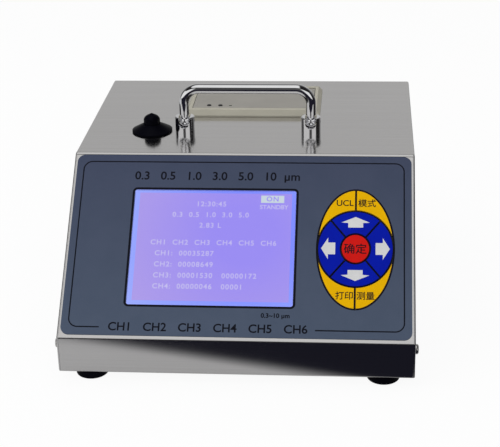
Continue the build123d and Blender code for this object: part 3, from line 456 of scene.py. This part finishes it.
def thicken(bm, rise):
    # raises flat faces into a closed film
    flat = list(bm.faces)
    raised = bmesh.ops.extrude_face_region(bm, geom=flat)
    top = [item for item in raised["geom"] if isinstance(item, bmesh.types.BMVert)]
    bmesh.ops.translate(bm, vec=rise, verts=top)
    bmesh.ops.recalc_face_normals(bm, faces=bm.faces)


ink = {
    "thickness": 0.03, "joinWithin": 0.001,  # mm
    "curveSteps": 4, "cornerSteps": 8, "ovalSteps": 96,
}


def printedShape(name, outline, place, material, body):
    bm = bmesh.new()
    bm.faces.new([bm.verts.new((x, y, 0.0)) for x, y in outline])
    thicken(bm, (0.0, 0.0, ink["thickness"]))
    return addPiece(name, meshFrom(bm, name, place), material, body)


def printedText(name, words, size, place, material, body, spacing=1.0, align="CENTER", bold=0.0):
    curve = bpy.data.curves.new(name, "FONT")
    curve.body = words
    curve.size = size
    curve.space_character = spacing
    curve.align_x = align
    curve.align_y = "CENTER"
    curve.extrude = ink["thickness"] / 2
    curve.offset = bold
    curve.resolution_u = ink["curveSteps"]
    lettering = bpy.data.objects.new(name, curve)
    bpy.context.scene.collection.objects.link(lettering)
    mesh = bpy.data.meshes.new_from_object(lettering)
    bpy.data.objects.remove(lettering)
    mesh.transform(Matrix.Diagonal((mm, mm, mm, 1.0)))
    mesh.transform(place)
    return addPiece(name, mesh, material, body)


def ellipseRing(name, inner, outer, place, material, body):
    bm = bmesh.new()
    for across, up in (inner, outer):
        ring = bmesh.ops.create_circle(bm, radius=1.0, segments=ink["ovalSteps"])["verts"]
        bmesh.ops.scale(bm, vec=(across, up, 1.0), verts=ring)
    bmesh.ops.bridge_loops(bm, edges=bm.edges)
    thicken(bm, (0.0, 0.0, ink["thickness"]))
    return addPiece(name, meshFrom(bm, name, place), material, body)


def lineRound(name, left, right, bottom, top, corner, width, gap, place, material, body):
    # one printed line round a rectangle, drawn by pulling an edge along the sides and turning it at the corners
    bm = bmesh.new()
    gapLeft, gapRight = gap
    edge = bm.edges.new([bm.verts.new((gapRight, bottom + side * width / 2, 0.0)) for side in (-1, 1)])
    steps = [
        ((right - corner - gapRight, 0.0), (right - corner, bottom + corner)),
        ((0.0, top - bottom - 2 * corner), (right - corner, top - corner)),
        ((left - right + 2 * corner, 0.0), (left + corner, top - corner)),
        ((0.0, bottom - top + 2 * corner), (left + corner, bottom + corner)),
        ((gapLeft - left - corner, 0.0), None),
    ]
    for (moveX, moveY), centre in steps:
        pulled = bmesh.ops.extrude_edge_only(bm, edges=[edge])["geom"]
        verts = [item for item in pulled if isinstance(item, bmesh.types.BMVert)]
        bmesh.ops.translate(bm, vec=(moveX, moveY, 0.0), verts=verts)
        edge = next(item for item in pulled if isinstance(item, bmesh.types.BMEdge))
        if centre:
            turned = bmesh.ops.spin(bm, geom=[*edge.verts, edge], cent=(*centre, 0.0), axis=(0.0, 0.0, 1.0),
                                    angle=math.radians(90.0), steps=ink["cornerSteps"], use_merge=False)
            edge = next(item for item in turned["geom_last"] if isinstance(item, bmesh.types.BMEdge))
    bmesh.ops.remove_doubles(bm, verts=bm.verts, dist=ink["joinWithin"])
    thicken(bm, (0.0, 0.0, ink["thickness"]))
    return addPiece(name, meshFrom(bm, name, place), material, body)


# printing on the film

filmPrint = {
    "left": -122.0, "right": 121.9, "bottom": -66.9, "top": 67.6, "corner": 6.6, "width": 0.95,
    "gap": (-99.2, 57.9),
    "channels": "0.3   0.5   1.0   3.0   5.0   10  µm",
    "channelsAt": (-19.0, 55.6), "channelSize": 9.6,
    "labels": ["CH1", "CH2", "CH3", "CH4", "CH5", "CH6"],
    "labelsFrom": -84.0, "labelPitch": 25.6, "labelY": -66.6, "labelSize": 9.0,
    "range": "0.3~10 µm", "rangeAt": (29.0, -56.2), "rangeSize": 4.8,
    "bold": 0.15,
}


def addFilmPrint(settings):
    face = panelPlace(0.0, 0.0, 0.0)
    lineRound("filmLine", settings["left"], settings["right"], settings["bottom"], settings["top"],
              settings["corner"], settings["width"], settings["gap"], face, blackInk, "case")
    bold = settings["bold"]
    printedText("filmChannels", settings["channels"], settings["channelSize"],
                panelPlace(*settings["channelsAt"], 0.0), blackInk, "case", bold=bold)
    for count, label in enumerate(settings["labels"]):
        x = settings["labelsFrom"] + count * settings["labelPitch"]
        printedText("film" + label, label, settings["labelSize"],
                    panelPlace(x, settings["labelY"], 0.0), blackInk, "case", bold=bold)
    printedText("filmRange", settings["range"], settings["rangeSize"],
                panelPlace(*settings["rangeAt"], 0.0), blackInk, "case", bold=bold)


addFilmPrint(filmPrint)


# keypad legends, each on its own key

keypad = {
    "oval": (27.95, 47.4),
    "outline": 1.05, "outlineGap": 0.05,  # the line round the keys, on the film
    "edge": 0.32, "edgeGap": 0.02,  # the line just inside each key's outline
    "flatness": 0.01, "facing": 0.99,  # which faces are the key's top: depth in mm, and cosine to the panel
    "lift": 0.05,
    "tip": 25.6, "barb": 21.1, "notch": 20.7, "tail": 17.0, "shaftHalf": 5.5, "headHalf": 10.4,
    "sideTip": 25.2, "sideBarb": 20.1, "sideTail": 14.8, "sideShaftHalf": 4.7, "sideHeadHalf": 8.6,
    "bold": 0.085,
}
keyWords = {
    "key_top_left": ("UCL", (-8.2, 36.7), 6.8),
    "key_top_right": ("模式", (8.3, 36.5), 6.7),
    "key_bottom_left": ("打印", (-7.6, -37.6), 6.7),
    "key_bottom_right": ("测量", (7.8, -37.6), 6.7),
    "key_centre": ("确定", (-0.1, -0.7), 8.6),
}


def arrowOutline(tip, barb, notch, tail, shaftHalf, headHalf):
    half = [(0.0, tip), (-headHalf, barb), (-shaftHalf, notch), (-shaftHalf, tail)]
    return half + [(-x, y) for x, y in reversed(half[1:])]


def turnedOutline(outline, quarters):
    turn = Matrix.Rotation(math.radians(90.0 * quarters), 2)
    return [tuple(turn @ Vector(corner)) for corner in outline]


def addKeyEdge(key, settings):
    # a black line printed just inside the key's own outline
    bm = bmesh.new()
    bm.from_mesh(nodes[key].data)
    high = max(vert.co.dot(panelOut) for vert in bm.verts) - settings["flatness"] * mm
    spare = [face for face in bm.faces
             if face.normal.dot(panelOut) < settings["facing"] or face.calc_center_median().dot(panelOut) < high]
    bmesh.ops.delete(bm, geom=spare, context="FACES")
    bmesh.ops.dissolve_faces(bm, faces=list(bm.faces), use_verts=False)
    for width in (settings["edgeGap"], settings["edge"]):
        inner = max(bm.faces, key=lambda face: face.calc_area())
        bmesh.ops.inset_region(bm, faces=[inner], thickness=width * mm, use_even_offset=True, use_boundary=True)
    bmesh.ops.delete(bm, geom=[max(bm.faces, key=lambda face: face.calc_area())], context="FACES")
    thicken(bm, panelOut * ink["thickness"] * mm)
    mesh = bpy.data.meshes.new(key + "Edge")
    bm.to_mesh(mesh)
    bm.free()
    addPiece(key + "Edge", mesh, blackInk, key)


def addKeyLegends(settings, words):
    x, y = keypadCentre
    face = panelPlace(x, y, settings["lift"])
    upright = arrowOutline(settings["tip"], settings["barb"], settings["notch"], settings["tail"],
                           settings["shaftHalf"], settings["headHalf"])
    sideways = arrowOutline(settings["sideTip"], settings["sideBarb"], settings["sideBarb"], settings["sideTail"],
                            settings["sideShaftHalf"], settings["sideHeadHalf"])
    arrows = {"key_up": (upright, 0), "key_left": (sideways, 1), "key_down": (upright, 2), "key_right": (sideways, 3)}
    for key, (outline, quarters) in arrows.items():
        printedShape(key + "Arrow", turnedOutline(outline, quarters), face, whiteInk, key)
    for key in [*arrows, *words]:
        addKeyEdge(key, settings)
    for key, (text, (wordX, wordY), size) in words.items():
        printedText(key + "Word", text, size, panelPlace(x + wordX, y + wordY, settings["lift"]),
                    blackInk, key, bold=settings["bold"])
    across, up = settings["oval"]
    inner, outer = ((across + grow, up + grow) for grow in (settings["outlineGap"], settings["outline"]))
    ellipseRing("keypadOutline", inner, outer, panelPlace(x, y, 0.0), blackInk, "case")


addKeyLegends(keypad, keyWords)


# I and O on the power rocker

rockerMarks = {
    "fromMiddle": 5.0, "size": 3.6, "bold": 0.06, "lift": 0.08,
    "right": (-1.0, 0.0, 0.0),  # the way the letters read, seen from behind
    "rayFrom": 50.0, "rayAbove": 10.0,  # where the rays that find the face start
}


def addRockerMarks(settings):
    # each mark lies on the rocker's own slanting face, found from behind
    mesh = nodes["power_rocker"].data
    skin = BVHTree.FromPolygons([vert.co for vert in mesh.vertices], [face.vertices for face in mesh.polygons])
    low, high = (Vector(corner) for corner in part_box("power_rocker"))
    middle = (low + high) / 2
    right = Vector(settings["right"])
    for word, side in (("I", 1), ("O", -1)):
        start = Vector((middle.x, high.y + settings["rayFrom"] * mm, middle.z + side * settings["fromMiddle"] * mm))
        spot, outward, *_ = skin.ray_cast(start, Vector((0.0, -1.0, 0.0)))
        place = Matrix((right, outward.cross(right), outward)).transposed().to_4x4()
        place.translation = spot
        mark = printedText("rockerMark" + word, word, settings["size"], place, whiteInk,
                           "power_rocker", bold=settings["bold"])
        for vert in mark.data.vertices:
            above = (vert.co - spot).dot(outward)
            ground, *_ = skin.ray_cast(vert.co + outward * (settings["rayAbove"] * mm), -outward)
            vert.co = ground + outward * (settings["lift"] * mm + above)


addRockerMarks(rockerMarks)
print("printing done")


# display picture under the window

display = {
    "centre": (-19.75, -2.4), "window": (122.5, 93.2), "size": (122.0, 92.7), "depth": -1.75,
    "border": 1.6, "borderGap": 0.1, "corner": 2.0,
    "field": (115.3, 87.3), "fieldShift": (0.3, 0.8),
    "inkDepth": -1.65, "textSize": 5.6, "textLeft": -43.0, "textBold": 0.11, "spacing": 1.18,
    "block": (17.4, 6.0), "blockAt": (43.4, 39.9), "underAt": (44.6, 33.2), "underShare": 0.86,
    "step": 0.04,  # from one printed layer to the next
    "glowAt": (4.0, 8.0),
}
screenMiddle = panelPlace(*display["glowAt"], 0.0).translation
screenBlue = makeGlow("screenEdge", (0.33, 0.42, 1.0), (0.17, 0.22, 1.0), screenMiddle, (0.11, 0.11, 0.11))
screenViolet = makeGlow("screenField", (0.40, 0.31, 0.80), (0.30, 0.24, 0.88), screenMiddle, (0.095, 0.095, 0.095))
screenText = makeGlow("screenText", (0.56, 0.52, 0.84), (0.50, 0.46, 0.86), screenMiddle, (0.1, 0.1, 0.1))
screenBlock = makeGlow("screenBlock", (0.58, 0.66, 0.74), (0.56, 0.66, 0.72), screenMiddle, (0.1, 0.1, 0.1))
screenCentred = [
    ("12:30:45", (-2.6, 35.3)),
    ("0.3  0.5  1.0  3.0  5.0", (-2.8, 26.4)),
    ("2.83 L", (-2.7, 17.7)),
    ("CH1  CH2  CH3  CH4  CH5  CH6", (0.4, 3.6)),
]
screenRows = [
    ("CH1:  00035287", -5.2),
    ("CH2:  00008649", -14.1),
    ("CH3:  00001530   00000172", -22.9),
    ("CH4:  00000046   00001", -31.6),
]


def rectangleOutline(width, height):
    return [(-width / 2, -height / 2), (width / 2, -height / 2), (width / 2, height / 2), (-width / 2, height / 2)]


def addDisplay(settings, centred, rows):
    x, y = settings["centre"]
    width, height = settings["size"]
    depth, inkDepth, step = settings["depth"], settings["inkDepth"], settings["step"]
    size, bold, spacing = settings["textSize"], settings["textBold"], settings["spacing"]
    printedShape("screenEdge", rectangleOutline(width, height), panelPlace(x, y, depth), screenBlue, "case")
    shiftX, shiftY = settings["fieldShift"]
    printedShape("screenField", rectangleOutline(*settings["field"]),
                 panelPlace(x + shiftX, y + shiftY, depth + step), screenViolet, "case")
    for count, (words, (lineX, lineY)) in enumerate(centred):
        printedText("screenLine%d" % count, words, size, panelPlace(x + lineX, y + lineY, inkDepth),
                    screenText, "case", spacing=spacing, bold=bold)
    for count, (words, lineY) in enumerate(rows):
        printedText("screenRow%d" % count, words, size, panelPlace(x + settings["textLeft"], y + lineY, inkDepth),
                    screenText, "case", spacing=spacing, align="LEFT", bold=bold)
    blockX, blockY = settings["blockAt"]
    printedShape("screenBlock", rectangleOutline(*settings["block"]), panelPlace(x + blockX, y + blockY, inkDepth),
                 screenBlock, "case")
    printedText("screenBlockWord", "ON", size, panelPlace(x + blockX, y + blockY, inkDepth + step),
                screenViolet, "case", spacing=spacing, bold=bold)
    underX, underY = settings["underAt"]
    printedText("screenUnder", "STANDBY", size * settings["underShare"],
                panelPlace(x + underX, y + underY, inkDepth), screenText, "case", bold=bold)
    # the black line printed on the film round the window
    border = settings["border"]
    halfWidth, halfHeight = (side / 2 + border / 2 + settings["borderGap"] for side in settings["window"])
    lineRound("windowLine", -halfWidth, halfWidth, -halfHeight, halfHeight, settings["corner"] + border / 2,
              border, (0.0, 0.0), panelPlace(x, y, 0.0), blackInk, "case")


addDisplay(display, screenCentred, screenRows)
print("display done")


# floor, background and lights

floorSettings = {
    "radius": 7.0, "segments": 64,
    "shade": 0.85, "roughness": 0.8,
    "whiteShare": 0.93,  # how far the seen floor is lifted to white, over its shadow
    "mirroredShare": 0.4,  # and how much of that lift a reflection gets
    "dark": (0.012, 0.012, 0.02),
    "darkFrom": (-0.1625, 0.25),  # the dark floor in front starts at y = first + second * x, in reflections only
    "darkSoftness": 0.030,
    "dimmed": 0.40,
    "darkRight": (0.52, 0.60),  # and far to the right of the part
}
skySettings = {
    "fill": 0.55, "fillColour": (0.97, 0.98, 1.0),
    "boxTowards": (0.0, -0.26, 0.966), "boxEdge": (0.80, 0.86),  # overhead softbox, cosines of its rim
    "boxRight": (0.16, 0.30),  # where it stops on the right
    "wallTop": (0.44, 0.52),
    # what stands round the table, in degrees from the front, + to the right: (angle, shade)
    "ring": [(-180, 0.66), (-152, 0.66), (-146, 0.03), (-98, 0.03), (-92, 1.0), (-20, 1.0), (-13, 0.10),
             (9, 0.10), (17, 1.0), (58, 1.0), (66, 0.02), (146, 0.02), (152, 0.67), (180, 0.67)],
    "dark": 0.02, "darkBehind": 0.22, "behind": (0.25, 0.6),  # between the wall and the softbox
}


def softStep(tree, value, start, end):
    node = addNode(tree, "ShaderNodeMapRange", interpolation_type="SMOOTHSTEP")
    node.inputs["From Min"].default_value = start
    node.inputs["From Max"].default_value = end
    tree.links.new(value, node.inputs["Value"])
    return node.outputs["Result"]


def addFloor(settings):
    bm = bmesh.new()
    bmesh.ops.create_circle(bm, cap_ends=True, radius=settings["radius"], segments=settings["segments"])
    mesh = bpy.data.meshes.new("floor")
    bm.to_mesh(mesh)
    bm.free()
    floor = bpy.data.objects.new("floor", mesh)
    bpy.context.scene.collection.objects.link(floor)
    material, tree, shader = newMaterial("floorWhite")
    shader.inputs["Base Color"].default_value = (*[settings["shade"]] * 3, 1.0)
    shader.inputs["Roughness"].default_value = settings["roughness"]
    shader.inputs["Specular IOR Level"].default_value = 0.0
    seen = addNode(tree, "ShaderNodeLightPath")
    split = addNode(tree, "ShaderNodeSeparateXYZ")
    tree.links.new(objectCoordinates(tree), split.inputs[0])
    start, slope = settings["darkFrom"]
    edge = math2(tree, "ADD", math2(tree, "MULTIPLY", split.outputs["X"], slope), start)
    ahead = math2(tree, "SUBTRACT", edge, split.outputs["Y"])
    front = softStep(tree, ahead, 0.0, settings["darkSoftness"])
    side = softStep(tree, split.outputs["X"], *settings["darkRight"])
    unlit = math2(tree, "MAXIMUM", math2(tree, "MAXIMUM", front, side), settings["dimmed"])
    darkened = math2(tree, "MULTIPLY", unlit, seen.outputs["Is Glossy Ray"])
    glow = addNode(tree, "ShaderNodeEmission")
    black = addNode(tree, "ShaderNodeEmission")
    black.inputs["Color"].default_value = (*settings["dark"], 1.0)
    lifted = addNode(tree, "ShaderNodeMixShader")
    mirrored = math2(tree, "MULTIPLY", seen.outputs["Is Glossy Ray"], settings["mirroredShare"])
    share = math2(tree, "MULTIPLY", math2(tree, "ADD", seen.outputs["Is Camera Ray"], mirrored),
                  settings["whiteShare"])
    tree.links.new(share, lifted.inputs["Fac"])
    tree.links.new(shader.outputs[0], lifted.inputs[1])
    tree.links.new(glow.outputs[0], lifted.inputs[2])
    mixer = addNode(tree, "ShaderNodeMixShader")
    tree.links.new(darkened, mixer.inputs["Fac"])
    tree.links.new(lifted.outputs[0], mixer.inputs[1])
    tree.links.new(black.outputs[0], mixer.inputs[2])
    tree.links.new(mixer.outputs[0], tree.nodes["Material Output"].inputs["Surface"])
    mesh.materials.append(material)


def addWorld(settings):
    world = bpy.data.worlds.new("studio")
    bpy.context.scene.world = world
    world.use_nodes = True
    tree = world.node_tree
    tree.nodes.clear()
    way = addNode(tree, "ShaderNodeTexCoord").outputs["Generated"]
    split = addNode(tree, "ShaderNodeSeparateXYZ")
    tree.links.new(way, split.inputs[0])
    towards = addNode(tree, "ShaderNodeVectorMath", operation="DOT_PRODUCT")
    towards.inputs[1].default_value = settings["boxTowards"]
    tree.links.new(way, towards.inputs[0])
    box = softStep(tree, towards.outputs["Value"], *settings["boxEdge"])
    low = math2(tree, "SUBTRACT", 1.0, softStep(tree, split.outputs["Z"], *settings["wallTop"]))
    forward = math2(tree, "MULTIPLY", split.outputs["Y"], -1.0)
    turn = math2(tree, "ARCTAN2", split.outputs["X"], forward)
    share = math2(tree, "ADD", math2(tree, "MULTIPLY", turn, 0.5 / math.pi), 0.5)
    stops = [(angle / 360 + 0.5, (level, level, level)) for angle, level in settings["ring"]]
    ring = math2(tree, "MULTIPLY", low, ramp(tree, share, stops))
    box = math2(tree, "MULTIPLY", box, softStep(tree, split.outputs["X"], *reversed(settings["boxRight"])))
    behind = math2(tree, "MULTIPLY", softStep(tree, split.outputs["Y"], *settings["behind"]), settings["darkBehind"])
    rest = math2(tree, "MAXIMUM", behind, settings["dark"])
    shade = math2(tree, "MAXIMUM", math2(tree, "MAXIMUM", box, ring), rest)
    seen = addNode(tree, "ShaderNodeLightPath")
    soft = addNode(tree, "ShaderNodeBackground")
    soft.inputs["Color"].default_value = (*settings["fillColour"], 1.0)
    soft.inputs["Strength"].default_value = settings["fill"]
    mirrored = addNode(tree, "ShaderNodeBackground")
    tree.links.new(shade, mirrored.inputs["Strength"])
    white = addNode(tree, "ShaderNodeBackground")
    glossy = addNode(tree, "ShaderNodeMixShader")
    tree.links.new(seen.outputs["Is Glossy Ray"], glossy.inputs["Fac"])
    tree.links.new(soft.outputs[0], glossy.inputs[1])
    tree.links.new(mirrored.outputs[0], glossy.inputs[2])
    mixer = addNode(tree, "ShaderNodeMixShader")
    tree.links.new(math2(tree, "MAXIMUM", seen.outputs["Is Camera Ray"], seen.outputs["Is Transmission Ray"]),
                   mixer.inputs["Fac"])
    tree.links.new(glossy.outputs[0], mixer.inputs[1])
    tree.links.new(white.outputs[0], mixer.inputs[2])
    tree.links.new(mixer.outputs[0], addNode(tree, "ShaderNodeOutputWorld").inputs["Surface"])


def addLamp(name, place, size, power):
    data = bpy.data.lights.new(name, "AREA")
    data.shape = "RECTANGLE"
    data.size, data.size_y = size
    data.energy = power
    lamp = bpy.data.objects.new(name, data)
    lamp.location = place
    lamp.rotation_euler = (Vector(lampTarget) - Vector(place)).to_track_quat("-Z", "Y").to_euler()
    lamp.visible_glossy = False
    bpy.context.scene.collection.objects.link(lamp)


lampTarget = (0.0, 0.0, 0.1)
lampSettings = [
    {"name": "overhead", "place": (-0.3, 0.1, 1.6), "size": (1.4, 1.2), "power": 9.0},
    {"name": "left", "place": (-1.5, -0.7, 0.9), "size": (1.0, 1.2), "power": 8.0},
    {"name": "front", "place": (0.7, -1.7, 1.0), "size": (1.2, 0.8), "power": 5.0},
]

addFloor(floorSettings)
addWorld(skySettings)
for lamp in lampSettings:
    addLamp(**lamp)
print("stage and lights set")
